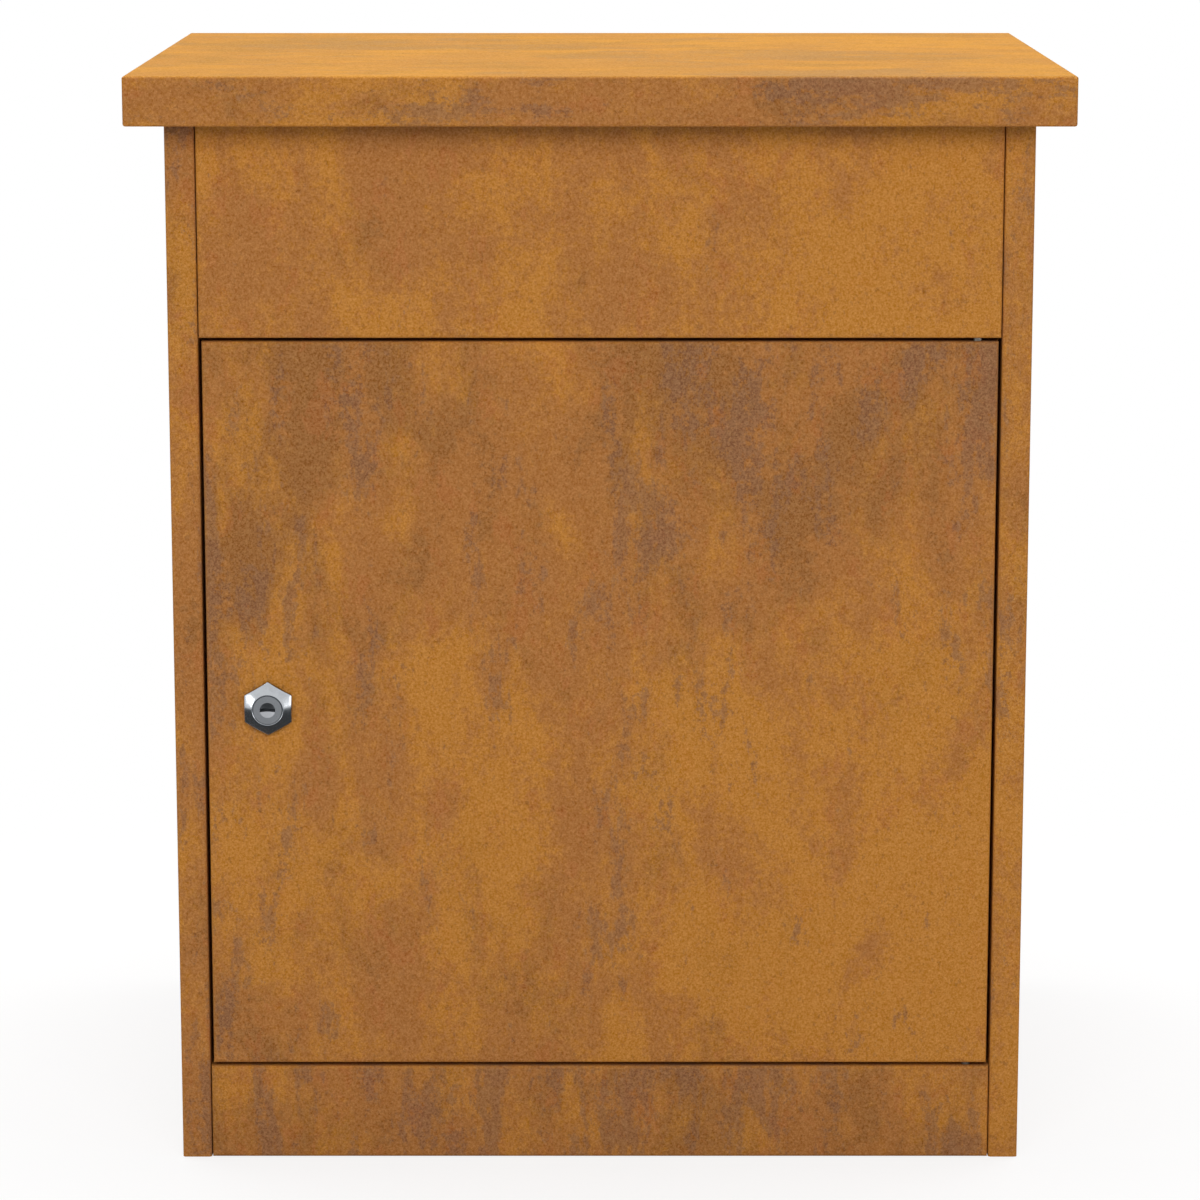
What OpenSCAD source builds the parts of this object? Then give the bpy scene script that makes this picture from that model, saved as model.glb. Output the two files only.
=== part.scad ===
// Weathering-steel parcel mailbox: a folded sheet cabinet with a rear-hinged lid that carries
// a retrieval guard, and an inset front door with pin hinges and a cam lock.
// The front faces -Y, +X is to the right of someone standing in front of it, +Z is up.
// The origin is the centre of the footprint, on the ground.

/* [Overall] */
// Width of the lid, the widest part
lid_w = 445; // [440:1:460]
// Depth from the lid's front edge to the rivet heads on the back
total_d = 340; // [320:1:380]
// Height from the ground to the top of the lid
total_h = 530; // [520:1:560]
// How far the lid stands out past each side of the body
side_overhang = 17.5; // [16:0.5:20]
// How far the lid stands out past the front of the body
front_overhang = 17; // [15:0.5:20]

/* [Sheet metal] */
// Thickness of every folded sheet
sheet_t = 1.2; // [1:0.1:1.4]
// Inner radius of every fold
fold_in = 0.3; // [0.2:0.1:0.5]

/* [Front] */
// Width of the upright strip at each side of the door
post_w = 14.2; // [13:0.1:15]
// Height of the lower front panel's top edge
kick_h = 46.3; // [44:0.1:50]
// Height of the door
door_h = 355.5; // [350:0.5:358]
// Depth of the door's folded edges
door_d = 14; // [13:0.5:14]
// Gap between the door and the frame around it
door_gap = 1.7; // [1.5:0.1:2]
// Seam between a post and the fixed panel beside it
seam = 0.4; // [0.2:0.1:0.6]
// Depth of the fixed front panels' folded edges
panel_d = 17; // [16:0.5:17]

/* [Door hinge] */
// Diameter of the door's hinge pins
door_pin_d = 4.4; // [4:0.1:4.6]
// Distance from the door's right edge to the pin
door_pin_in = 9.6; // [9:0.1:10]
// Depth of the pin behind the door's face
door_pin_back = 5; // [4.6:0.1:5.2]

/* [Lock] */
// Width across the flats of the lock's head
lock_af = 22.8; // [21:0.1:24]
// Distance from the door's left edge to the lock
lock_in = 29.2; // [28:0.1:32]
// How far the lock's nose stands out from the door
lock_nose = 5; // [4:0.1:6]
// Diameter of the lock's barrel
barrel_d = 16; // [15:0.5:17]
// Reach of the cam from the lock's axis
cam_reach = 26; // [24:0.5:27]

/* [Lid] */
// Height of the lid's folded rim
lid_h = 23.5; // [22:0.5:26]
// Width of the inward fold along the bottom of the rim
lid_hem = 10; // [6:0.5:12]
// Height of the deposit mouth's rim under the lid's top
rim_drop = 6.7; // [6:0.1:8]
// Width of the inward fold at the top of the side panels
rim_w = 14; // [12:0.5:15]

/* [Lid hinge] */
// Length of each hinge
hinge_l = 60; // [50:1:80]
// Distance of each hinge from the middle
hinge_x = 120; // [100:1:140]
// Diameter of the hinge pins
hinge_pin_d = 3; // [2.8:0.1:3.2]

/* [Retrieval guard] */
// Width of the guard
guard_w = 374; // [350:1:376]
// Height of the guard's lower edge with the lid shut
guard_low = 212; // [210:1:260]
// Depth of the guard's folded edges
guard_d = 20; // [16:0.5:20]
// Distance from the lid's hinge line forward to the guard's back
guard_front = 28.45; // [28:0.05:32]

/* [Fixing holes] */
// Sideways spacing of the wall and floor fixing holes
fix_x = 300; // [240:5:320]
// Height spacing of the wall fixing holes
fix_z = 380; // [300:5:400]
// Depth spacing of the floor fixing holes
fix_y = 180; // [140:5:200]
// Diameter of the wall fixing holes
wall_hole_d = 8; // [6:0.5:10]
// Diameter of the floor fixing holes
floor_hole_d = 9; // [8:0.5:12]

/* [Hidden] */
$fn = 48;

// Folds: the outer radius, and the radius along the middle of the sheet
fold_out = fold_in + sheet_t;
fold_mid = fold_in + sheet_t / 2;
half_t = sheet_t / 2;

// How far a cut goes past what it cuts
cut_past = 1;

// Rivets
rivet_r = 2;
rivet_head_r = 3.5;
rivet_head_h = 1.2;
rivet_tail_r = 2.7;
rivet_tail_h = 2;

// Main faces
body_w = lid_w - 2 * side_overhang;
lid_front = -total_d / 2;
front = lid_front + front_overhang;
back = total_d / 2 - rivet_head_h;
back_in = back - sheet_t;
rim_z = total_h - rim_drop;
lid_low = total_h - lid_h;
lid_under = total_h - sheet_t;

// Door opening
open_half = body_w / 2 - post_w;
open_top = kick_h + door_h + 2 * door_gap;
door_low = kick_h + door_gap;
door_top = door_low + door_h;
door_half = open_half - door_gap;
fixed_half = open_half - seam;

// Stop strip behind the door's upright edges, cut away behind the fixed panels
stop_y = front + 19.5;
stop_w = 11.8;
stop_cut_d = 6;

// Flanges at the back of the side panels, and the fold along their tops
rear_flange = 15;
rim_fold_h = 12;
rim_fold_back = back_in - 6;
rim_fold_l = rim_fold_back - front - 20;

// Floor tray
tray_clear = 0.2;
tray_edge = 15;

// Bumpers
bumper_r = 4;
bumper_clear = 0.3;
bumper_edge = 1;
lid_bumper_x = body_w / 2 - rim_w / 2 - 1;
lid_bumper_y = front + 33;
door_bumper_z = [door_low + 72, door_low + 282];

// Lid hinge: knuckles and leaves
hinge_pin_r = hinge_pin_d / 2;
knuckle_r = hinge_pin_r + 1.25;
leaf_off = knuckle_r + 0.4;
leaf_w = 25;
leaf_gap = 0.4;
hinge_pin_past = 1;
run_clear = 0.05;
knuckle_gap = 0.3;
knuckle_l = hinge_l / 3;
axis_y = back_in - leaf_off;
axis_z = lid_under - leaf_off;
leaf_rivet_x = 15;
leaf_rivet_z = axis_z - 17;

// Lid's back edge and the back panel's top, both clear of the turning knuckles
lid_back = axis_y + 2.85;
lid_clear = 2;
back_top = axis_z - 4.65;

// Rivet rows: from the body's sides, its ground edge and its front, and the heights of each
back_rivet_in = 8;
back_rivet_low = 35;
back_rivet_step = (back_top - 60) / 4;
front_rivet_y = front + 9;
kick_rivets_z = [12, 33];
upper_rivets_z = [open_top + 25, rim_z - 35];

// Guard
guard_back = axis_y - guard_front;
stud_r = 2.5;
stud_l = 12;
stud_y = guard_back - guard_d / 2;
stud_x = [-150, -50, 50, 150];
stud_clear = 0.2;
nut_af = 8;
nut_h = 4;

// Door pins
door_pin_r = door_pin_d / 2;
door_pin_x = door_half - door_pin_in;
door_pin_y = front + door_pin_back;
pin_collar_r = 3;
pin_collar_h = 2;
pin_past = 4.5;
pin_chamfer = 0.6;

// Lock, measured along its axis: 0 is the door's face, positive is outwards
lock_x = -door_half + lock_in;
lock_z = (door_low + door_top) / 2;
nose_r = 7.6;
cone_slope = 1.466;
face_r = 6.85;
face_t = 1.5;
face_clear = 0.1;
plug_r = 5.5;
barrel_r = barrel_d / 2;
barrel_end = -21;
plug_end = barrel_end - 0.2;
tail_hole_r = 2;
tail_hole_l = 6;
tail_fit = 0.05;
keyway_r = 3.7;
keyway_floor_r = 0.8;
keyway_dish = 1.3;
slot_w = 7.4;
slot_h = 1.7;
slot_depth = 13;
tail_w = 6.4;
tail_end = plug_end - 2.5;
cam_t = 2.5;
cam_w = 11;
cam_hub_r = 8;
cam_front = plug_end - 0.1;
cam_back = cam_front - cam_t;
lock_nut_af = 22;
lock_nut_h = 4.5;
lock_washer_r = 12.5;
lock_washer_t = 1;
cam_washer_r = 5.5;
cam_washer_bore = 2.1;
cam_washer_t = 1;
screw_r = 2;
screw_l = 6;
screw_head_h = 2.6;
screw_head_r = [3.2, 3.8];
screw_cross = [4.4, 0.8, 1.4];

// Colours
rust = [0.66, 0.43, 0.22];
rust_light = [0.82, 0.59, 0.29];
zinc = [0.72, 0.72, 0.7];
bright = [0.8, 0.82, 0.84];
black_rubber = [0.09, 0.09, 0.09];

// --- Sheet metal ---------------------------------------------------------------------------

function way(a, b) = (b - a) / norm(b - a);

// One flat stretch of a folded strip, shortened by the fold at either end
module flat_run(a, b, fold_a, fold_b) {
  along = way(a, b);
  p = a + along * (fold_a ? fold_mid : 0);
  q = b - along * (fold_b ? fold_mid : 0);
  translate((p + q) / 2)
    rotate(atan2(along.y, along.x))
      square([norm(q - p), sheet_t], center = true);
}

// One right-angled fold at p, between the stretches from a and to b
module fold(a, p, b) {
  into = way(a, p);
  out = way(p, b);
  translate(p + (out - into) * fold_mid)
    rotate(atan2(into.y - out.y, into.x - out.x) - 45)
      intersection() {
        difference() {
          circle(fold_out);
          circle(fold_in);
        }
        square(fold_out);
      }
}

// The edge view of a folded strip, through the points on the middle of the sheet
module folded(points) {
  last = len(points) - 1;
  for (i = [0 : last - 1])
    flat_run(points[i], points[i + 1], i > 0, i < last - 1);
  for (i = [1 : last - 1])
    fold(points[i - 1], points[i], points[i + 1]);
}

// A rectangle with its middle on x = 0 and its front edge on y = 0, with two round front corners
module front_rounded(w, d, r) {
  translate([-w / 2 + r, 0])
    square([w - 2 * r, r]);
  translate([-w / 2, r])
    square([w, d - r]);
  for (side = [-1, 1])
    translate([side * (w / 2 - r), r])
      circle(r);
}

// A block with its front face on y = 0, and its four front edges round
module front_block(w, h, d, r) {
  intersection() {
    linear_extrude(h)
      front_rounded(w, d, r);
    translate([-w / 2, 0, h / 2])
      rotate([90, 0, 90])
        linear_extrude(w)
          rotate(-90)
            front_rounded_mirrored(h, d, r);
  }
}

// The same rectangle turned to lie along +X when it is rotated by -90 degrees
module front_rounded_mirrored(w, d, r) {
  mirror([0, 1])
    rotate(180)
      front_rounded(w, d, r);
}

// A shallow folded pan: its face is on y = 0 and its four edges run back by d
module pan(w, h, d) {
  difference() {
    front_block(w, h, d, fold_out);
    translate([0, sheet_t, sheet_t])
      front_block(w - 2 * sheet_t, h - 2 * sheet_t, d, fold_in);
  }
}

// --- Small parts ---------------------------------------------------------------------------

// A blind rivet along Z: its head is above z = 0 and its shank goes down through grip
module rivet(grip) {
  ball_r = (rivet_head_r * rivet_head_r + rivet_head_h * rivet_head_h) / (2 * rivet_head_h);
  intersection() {
    translate([0, 0, rivet_head_h - ball_r])
      sphere(ball_r);
    cylinder(r = rivet_head_r, h = rivet_head_h);
  }
  translate([0, 0, -grip])
    cylinder(r = rivet_r, h = grip);
  translate([0, 0, -grip - rivet_tail_h])
    cylinder(r1 = rivet_r, r2 = rivet_tail_r, h = rivet_tail_h);
}

module rivet_hole(deep) {
  translate([0, 0, -deep])
    cylinder(r = rivet_r, h = 2 * deep);
}

// Puts its children on each rivet of the back panel, with +Z out of the back
module at_back_rivets() {
  for (side = [-1, 1], k = [0 : 4])
    translate([side * (body_w / 2 - back_rivet_in), back, back_rivet_low + k * back_rivet_step])
      rotate([-90, 0, 0])
        children();
}

// The same for the rivets through the fixed leaves of the lid hinges
module at_hinge_rivets(middles) {
  for (x = middles, side = [-1, 1])
    translate([x + side * leaf_rivet_x, back, leaf_rivet_z])
      rotate([-90, 0, 0])
        children();
}

// The rivets that hold the fixed front panels to the posts, with +Z towards the middle
module at_front_rivets(heights, sides = [-1, 1]) {
  for (side = sides, z = heights)
    translate([side * (fixed_half - sheet_t), front_rivet_y, z])
      rotate([0, -side * 90, 0])
        children();
}

// --- Cabinet -------------------------------------------------------------------------------

// The left wall with the front post, the stop strip and the rear flange, folded from one sheet
module side_blank() {
  wall_x = -body_w / 2 + half_t;
  post_x = -open_half - half_t;
  difference() {
    union() {
      linear_extrude(rim_z - fold_out)
        folded([
          [-open_half + stop_w, stop_y + half_t],
          [post_x, stop_y + half_t],
          [post_x, front + half_t],
          [wall_x, front + half_t],
          [wall_x, back_in - half_t],
          [wall_x - half_t + rear_flange, back_in - half_t]
        ]);
      translate([0, rim_fold_back, 0])
        rotate([90, 0, 0])
          linear_extrude(rim_fold_l)
            folded([
              [wall_x, rim_z - rim_fold_h],
              [wall_x, rim_z - half_t],
              [wall_x - half_t + rim_w, rim_z - half_t]
            ]);
    }
    for (span = [[-cut_past, kick_h], [open_top, rim_z + cut_past]])
      translate([-open_half - fold_out, front + panel_d, span[0]])
        cube([stop_w + 2 * fold_out, stop_cut_d, span[1] - span[0]]);
    at_back_rivets() rivet_hole(2 * sheet_t + cut_past);
    at_front_rivets(concat(kick_rivets_z, upper_rivets_z), [-1])
      rivet_hole(2 * sheet_t + seam + cut_past);
  }
}

module left_side_panel() {
  color(rust) side_blank();
}

module right_side_panel() {
  color(rust) mirror([1, 0, 0]) side_blank();
}

module back_panel() {
  color(rust)
    difference() {
      translate([-body_w / 2, back_in, 0])
        cube([body_w, sheet_t, back_top]);
      at_back_rivets() rivet_hole(2 * sheet_t + cut_past);
      at_hinge_rivets([-hinge_x, hinge_x]) rivet_hole(2 * sheet_t + cut_past);
      for (x = [-fix_x / 2, fix_x / 2], z = [-fix_z / 2, fix_z / 2])
        translate([x, back_in - cut_past, lid_low / 2 + z])
          rotate([-90, 0, 0])
            cylinder(d = wall_hole_d, h = sheet_t + 2 * cut_past);
    }
}

// A tray that lies on the ground inside the walls, with a high front edge behind the kick panel
module floor_panel() {
  half_w = body_w / 2 - sheet_t - tray_clear;
  tray_front = front + panel_d + tray_clear;
  tray_back = back_in - sheet_t - tray_clear;
  color(rust)
    difference() {
      translate([-half_w, 0, 0])
        rotate([90, 0, 90])
          linear_extrude(2 * half_w)
            folded([
              [tray_front + half_t, kick_h - 2 * sheet_t],
              [tray_front + half_t, half_t],
              [tray_back - half_t, half_t],
              [tray_back - half_t, tray_edge]
            ]);
      for (x = [-fix_x / 2, fix_x / 2], y = [-fix_y / 2, fix_y / 2])
        translate([x, y, -cut_past])
          cylinder(d = floor_hole_d, h = sheet_t + 2 * cut_past);
    }
}

// The fixed panel over the door, with the upper pin's hole in its bottom edge
module upper_front_panel() {
  color(rust)
    difference() {
      translate([0, front, open_top])
        pan(2 * fixed_half, rim_z - open_top, panel_d);
      translate([door_pin_x, door_pin_y, open_top - cut_past])
        cylinder(r = door_pin_r + run_clear, h = sheet_t + 2 * cut_past);
      at_front_rivets(upper_rivets_z) rivet_hole(sheet_t + cut_past);
    }
}

// The fixed panel under the door, with the lower pin's hole in its top edge
module lower_front_panel() {
  color(rust)
    difference() {
      translate([0, front, 0])
        pan(2 * fixed_half, kick_h, panel_d);
      translate([door_pin_x, door_pin_y, kick_h - sheet_t - cut_past])
        cylinder(r = door_pin_r + run_clear, h = sheet_t + 2 * cut_past);
      at_front_rivets(kick_rivets_z) rivet_hole(sheet_t + cut_past);
    }
}

module back_rivets() {
  color(zinc) at_back_rivets() rivet(2 * sheet_t);
}

module front_rivets() {
  color(zinc)
    at_front_rivets(concat(kick_rivets_z, upper_rivets_z)) rivet(2 * sheet_t + seam);
}

module hinge_rivets() {
  color(zinc) at_hinge_rivets([-hinge_x, hinge_x]) rivet(2 * sheet_t);
}

// --- Bumpers -------------------------------------------------------------------------------

// A stick-on rubber dome with a flat top
module bumper(h) {
  color(black_rubber) {
    cylinder(r = bumper_r, h = h - bumper_edge);
    translate([0, 0, h - bumper_edge])
      cylinder(r1 = bumper_r, r2 = bumper_r - bumper_edge, h = bumper_edge);
  }
}

module lid_bumper(side) {
  translate([side * lid_bumper_x, lid_bumper_y, rim_z])
    bumper(lid_under - rim_z - bumper_clear);
}

module left_lid_bumper() {
  lid_bumper(-1);
}

module right_lid_bumper() {
  lid_bumper(1);
}

module door_bumper(z) {
  translate([-open_half + stop_w / 2, stop_y, z])
    rotate([90, 0, 0])
      bumper(stop_y - front - door_d - bumper_clear);
}

module upper_door_bumper() {
  door_bumper(door_bumper_z[1]);
}

module lower_door_bumper() {
  door_bumper(door_bumper_z[0]);
}

// --- Lid hinges ----------------------------------------------------------------------------

// The plate and knuckles of one leaf. The hinge line is the X axis, the plate goes down
// behind it, and knuckles lists the spans from the hinge's left end that carry a knuckle.
module hinge_leaf(knuckles, bore_r) {
  translate([-hinge_l / 2, 0, 0])
    difference() {
      union() {
        translate([0, leaf_off - sheet_t, -leaf_w - knuckle_r])
          cube([hinge_l, sheet_t, leaf_w - leaf_gap]);
        for (span = knuckles) {
          translate([span[0], leaf_off - sheet_t, -knuckle_r - cut_past])
            cube([span[1] - span[0], sheet_t, knuckle_r]);
          translate([span[0], 0, 0])
            rotate([0, 90, 0])
              cylinder(r = knuckle_r, h = span[1] - span[0]);
        }
      }
      translate([-cut_past, 0, 0])
        rotate([0, 90, 0])
          cylinder(r = bore_r, h = hinge_l + 2 * cut_past);
    }
}

module fixed_leaf(x) {
  color(zinc)
    difference() {
      translate([x, axis_y, axis_z])
        hinge_leaf(
          [[0, knuckle_l - knuckle_gap], [2 * knuckle_l + knuckle_gap, hinge_l]],
          hinge_pin_r
        );
      at_hinge_rivets([x]) rivet_hole(2 * sheet_t + cut_past);
    }
}

module lid_leaf(x) {
  color(zinc)
    translate([x, axis_y, axis_z])
      rotate([-90, 0, 0])
        mirror([0, 1, 0])
          hinge_leaf([[knuckle_l, 2 * knuckle_l]], hinge_pin_r + run_clear);
}

module hinge_pin(x) {
  color(bright)
    translate([x - hinge_l / 2 - hinge_pin_past, axis_y, axis_z])
      rotate([0, 90, 0])
        cylinder(r = hinge_pin_r, h = hinge_l + 2 * hinge_pin_past);
}

module left_hinge_fixed_leaf() {
  fixed_leaf(-hinge_x);
}

module right_hinge_fixed_leaf() {
  fixed_leaf(hinge_x);
}

module left_hinge_lid_leaf() {
  lid_leaf(-hinge_x);
}

module right_hinge_lid_leaf() {
  lid_leaf(hinge_x);
}

module left_hinge_pin() {
  hinge_pin(-hinge_x);
}

module right_hinge_pin() {
  hinge_pin(hinge_x);
}

// --- Lid -----------------------------------------------------------------------------------

// A block with round edges, except at the back, from the front face on y = 0
module lid_block(w, d, h, r) {
  intersection() {
    translate([0, d, 0])
      rotate([90, 0, 0])
        linear_extrude(d)
          all_rounded(w, h, r);
    translate([-w / 2, 0, h / 2])
      rotate([90, 0, 90])
        linear_extrude(w)
          rotate(-90)
            front_rounded_mirrored(h, d, r);
    linear_extrude(h)
      front_rounded(w, d, r);
  }
}

// A rectangle with its middle on x = 0 and its lower edge on y = 0, with four round corners
module all_rounded(w, h, r) {
  translate([-w / 2 + r, 0])
    square([w - 2 * r, h]);
  translate([-w / 2, r])
    square([w, h - 2 * r]);
  for (x = [-w / 2 + r, w / 2 - r], y = [r, h - r])
    translate([x, y])
      circle(r);
}

// The lid is a tray, open at the back where the body's back wall stands under it
module lid() {
  depth = lid_back - lid_front;
  color(rust_light)
    difference() {
      translate([0, lid_front, lid_low])
        lid_block(lid_w, depth, lid_h, fold_out);
      translate([0, lid_front + sheet_t, lid_low + sheet_t])
        lid_block(lid_w - 2 * sheet_t, depth - 2 * sheet_t, lid_h - 2 * sheet_t, fold_in);
      translate([-lid_w / 2 + lid_hem, lid_front + lid_hem, lid_low - cut_past])
        cube([lid_w - 2 * lid_hem, depth, sheet_t + 2 * cut_past]);
      translate([-body_w / 2 - lid_clear, lid_back - sheet_t - cut_past, lid_low - cut_past])
        cube([body_w + 2 * lid_clear, sheet_t + 2 * cut_past, lid_h - sheet_t + cut_past]);
    }
}

// The guard hangs down inside the back wall, and swings forward under the mouth as the lid opens
module retrieval_guard() {
  color(rust)
    difference() {
      translate([0, guard_back, guard_low])
        rotate(180)
          pan(guard_w, lid_under - guard_low, guard_d);
      for (x = stud_x)
        translate([x, stud_y, lid_under - sheet_t - cut_past])
          cylinder(r = stud_r + stud_clear, h = sheet_t + 2 * cut_past);
    }
}

module guard_studs() {
  color(zinc)
    for (x = stud_x)
      translate([x, stud_y, lid_under - stud_l])
        cylinder(r = stud_r, h = stud_l);
}

module guard_nuts() {
  color(zinc)
    for (x = stud_x)
      translate([x, stud_y, lid_under - sheet_t - nut_h])
        difference() {
          cylinder(r = nut_af / sqrt(3), h = nut_h, $fn = 6);
          translate([0, 0, -cut_past])
            cylinder(r = stud_r, h = nut_h + 2 * cut_past);
        }
}

// --- Door ----------------------------------------------------------------------------------

// Puts its children on the lock's axis, with +Z out of the door
module at_lock() {
  translate([lock_x, front, lock_z])
    rotate([90, 0, 0])
      children();
}

module door() {
  color(rust)
    difference() {
      translate([0, front, door_low])
        pan(2 * door_half, door_h, door_d);
      at_lock()
        translate([0, 0, -sheet_t - cut_past])
          cylinder(r = barrel_r, h = sheet_t + 2 * cut_past);
      translate([door_pin_x, door_pin_y, door_low - cut_past])
        cylinder(r = door_pin_r, h = door_h + 2 * cut_past);
    }
}

// A hinge pin pointing up: pressed through the door's edge, with a collar inside it
module door_pin() {
  color(bright) {
    translate([0, 0, -sheet_t - pin_collar_h])
      cylinder(r = pin_collar_r, h = pin_collar_h);
    translate([0, 0, -sheet_t])
      cylinder(r = door_pin_r, h = 2 * sheet_t + door_gap + pin_past - pin_chamfer);
    translate([0, 0, sheet_t + door_gap + pin_past - pin_chamfer])
      cylinder(r1 = door_pin_r, r2 = door_pin_r - pin_chamfer, h = pin_chamfer);
  }
}

module upper_door_pin() {
  translate([door_pin_x, door_pin_y, door_top])
    door_pin();
}

module lower_door_pin() {
  translate([door_pin_x, door_pin_y, door_low])
    mirror([0, 0, 1])
      door_pin();
}

// --- Lock ----------------------------------------------------------------------------------

// Hexagonal head turned to a cone, with a threaded barrel behind it
module lock_housing() {
  color(bright)
    at_lock()
      difference() {
        union() {
          intersection() {
            rotate(30)
              cylinder(r = lock_af / sqrt(3), h = lock_nose, $fn = 6);
            cylinder(r1 = nose_r + lock_nose * cone_slope, r2 = nose_r, h = lock_nose);
          }
          translate([0, 0, barrel_end])
            cylinder(r = barrel_r, h = -barrel_end);
        }
        translate([0, 0, lock_nose - face_t - face_clear])
          cylinder(r = face_r + run_clear, h = face_t + cut_past);
        translate([0, 0, barrel_end - cut_past])
          cylinder(r = plug_r + run_clear, h = lock_nose - barrel_end + cut_past);
      }
}

module lock_washer() {
  color(zinc)
    at_lock()
      translate([0, 0, -sheet_t - lock_washer_t])
        difference() {
          cylinder(r = lock_washer_r, h = lock_washer_t);
          translate([0, 0, -cut_past])
            cylinder(r = barrel_r, h = lock_washer_t + 2 * cut_past);
        }
}

module lock_nut() {
  top = -sheet_t - lock_washer_t;
  color(zinc)
    at_lock()
      translate([0, 0, top - lock_nut_h])
        difference() {
          cylinder(r = lock_nut_af / sqrt(3), h = lock_nut_h, $fn = 6);
          translate([0, 0, -cut_past])
            cylinder(r = barrel_r, h = lock_nut_h + 2 * cut_past);
        }
}

// The turning plug: a round face with a dished, slotted key entry, and a square tail
module lock_plug() {
  color(bright)
    at_lock()
      difference() {
        union() {
          translate([0, 0, lock_nose - face_t])
            cylinder(r = face_r, h = face_t);
          translate([0, 0, plug_end])
            cylinder(r = plug_r, h = lock_nose - face_t - plug_end);
          translate([-tail_w / 2, -tail_w / 2, tail_end])
            cube([tail_w, tail_w, plug_end - tail_end]);
        }
        translate([0, 0, lock_nose - keyway_dish])
          cylinder(r1 = keyway_floor_r, r2 = keyway_r, h = keyway_dish);
        translate([-slot_w / 2, -slot_h / 2, lock_nose - slot_depth])
          cube([slot_w, slot_h, slot_depth + cut_past]);
        translate([0, 0, tail_end - cut_past])
          cylinder(r = tail_hole_r, h = tail_hole_l + cut_past);
      }
}

// The cam hangs down when the lock is open, and turns behind the left stop strip to lock
module cam() {
  arm = cam_reach - cam_w / 2;
  hole_w = tail_w + 2 * tail_fit;
  color(zinc)
    at_lock()
      translate([0, 0, cam_back])
        difference() {
          linear_extrude(cam_t) {
            circle(cam_hub_r);
            translate([-cam_w / 2, -arm])
              square([cam_w, arm]);
            translate([0, -arm])
              circle(cam_w / 2);
          }
          translate([-hole_w / 2, -hole_w / 2, -cut_past])
            cube([hole_w, hole_w, cam_t + 2 * cut_past]);
        }
}

module cam_washer() {
  color(zinc)
    at_lock()
      translate([0, 0, cam_back - cam_washer_t])
        difference() {
          cylinder(r = cam_washer_r, h = cam_washer_t);
          translate([0, 0, -cut_past])
            cylinder(r = cam_washer_bore, h = cam_washer_t + 2 * cut_past);
        }
}

module cam_screw() {
  head_front = cam_back - cam_washer_t;
  head_back = head_front - screw_head_h;
  color(zinc)
    at_lock()
      difference() {
        union() {
          translate([0, 0, head_back])
            cylinder(r1 = screw_head_r[0], r2 = screw_head_r[1], h = screw_head_h);
          translate([0, 0, head_front])
            cylinder(r = screw_r, h = screw_l);
        }
        for (turn = [0, 90])
          rotate(turn)
            translate([-screw_cross.x / 2, -screw_cross.y / 2, head_back - cut_past])
              cube([screw_cross.x, screw_cross.y, screw_cross.z + cut_past]);
      }
}

left_side_panel();
right_side_panel();
back_panel();
floor_panel();
upper_front_panel();
lower_front_panel();
back_rivets();
front_rivets();
left_lid_bumper();
right_lid_bumper();
upper_door_bumper();
lower_door_bumper();
left_hinge_fixed_leaf();
right_hinge_fixed_leaf();
left_hinge_pin();
right_hinge_pin();
hinge_rivets();
lid();
left_hinge_lid_leaf();
right_hinge_lid_leaf();
retrieval_guard();
guard_studs();
guard_nuts();
door();
upper_door_pin();
lower_door_pin();
lock_housing();
lock_washer();
lock_nut();
lock_plug();
cam();
cam_washer();
cam_screw();
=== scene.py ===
"""Looks of a weathering-steel parcel mailbox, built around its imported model.

The front faces -Y, +X is to the right of someone standing in front of it and +Z is up. Metres.
"""

import math

import bmesh
import bpy
from bpy.props import FloatProperty, FloatVectorProperty, IntProperty, PointerProperty
from mathutils import Matrix, Vector


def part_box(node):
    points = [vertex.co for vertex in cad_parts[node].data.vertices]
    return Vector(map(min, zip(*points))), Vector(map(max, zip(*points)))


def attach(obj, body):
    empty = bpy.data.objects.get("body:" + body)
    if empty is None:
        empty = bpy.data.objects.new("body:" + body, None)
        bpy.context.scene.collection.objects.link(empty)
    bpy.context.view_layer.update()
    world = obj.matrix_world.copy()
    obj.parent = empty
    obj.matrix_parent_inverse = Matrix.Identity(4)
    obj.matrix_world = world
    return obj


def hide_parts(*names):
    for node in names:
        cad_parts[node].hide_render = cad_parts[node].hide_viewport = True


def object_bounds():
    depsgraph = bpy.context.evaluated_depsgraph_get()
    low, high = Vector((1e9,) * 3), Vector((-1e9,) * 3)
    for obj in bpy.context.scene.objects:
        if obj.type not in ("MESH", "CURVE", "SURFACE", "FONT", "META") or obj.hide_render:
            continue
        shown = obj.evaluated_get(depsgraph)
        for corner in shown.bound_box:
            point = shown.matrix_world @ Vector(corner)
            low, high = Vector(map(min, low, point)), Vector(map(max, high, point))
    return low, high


bl_info = {
    "name": "Weathering steel mailbox",
    "version": (1, 0, 0),
    "blender": (4, 5, 0),
    "location": "3D View > Sidebar > Mailbox",
    "description": "Rust patina, metal finishes, lock details and a studio for the mailbox",
    "category": "Object",
}

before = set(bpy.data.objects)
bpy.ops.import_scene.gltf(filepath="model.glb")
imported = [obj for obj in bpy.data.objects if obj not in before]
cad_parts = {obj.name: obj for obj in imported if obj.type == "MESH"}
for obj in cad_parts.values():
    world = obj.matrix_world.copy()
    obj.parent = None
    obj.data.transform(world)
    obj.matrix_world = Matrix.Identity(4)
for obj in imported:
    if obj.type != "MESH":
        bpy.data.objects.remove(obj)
CAD_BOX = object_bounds()
CAD_MIDDLE = (CAD_BOX[0] + CAD_BOX[1]) / 2
MM = 0.001


# --- Patina --------------------------------------------------------------------------------

# How much slower the patina changes along each axis, so that its streaks run down or across
DOWN = (1.0, 1.0, 0.3)
ACROSS = (0.3, 1.0, 1.0)
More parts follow.
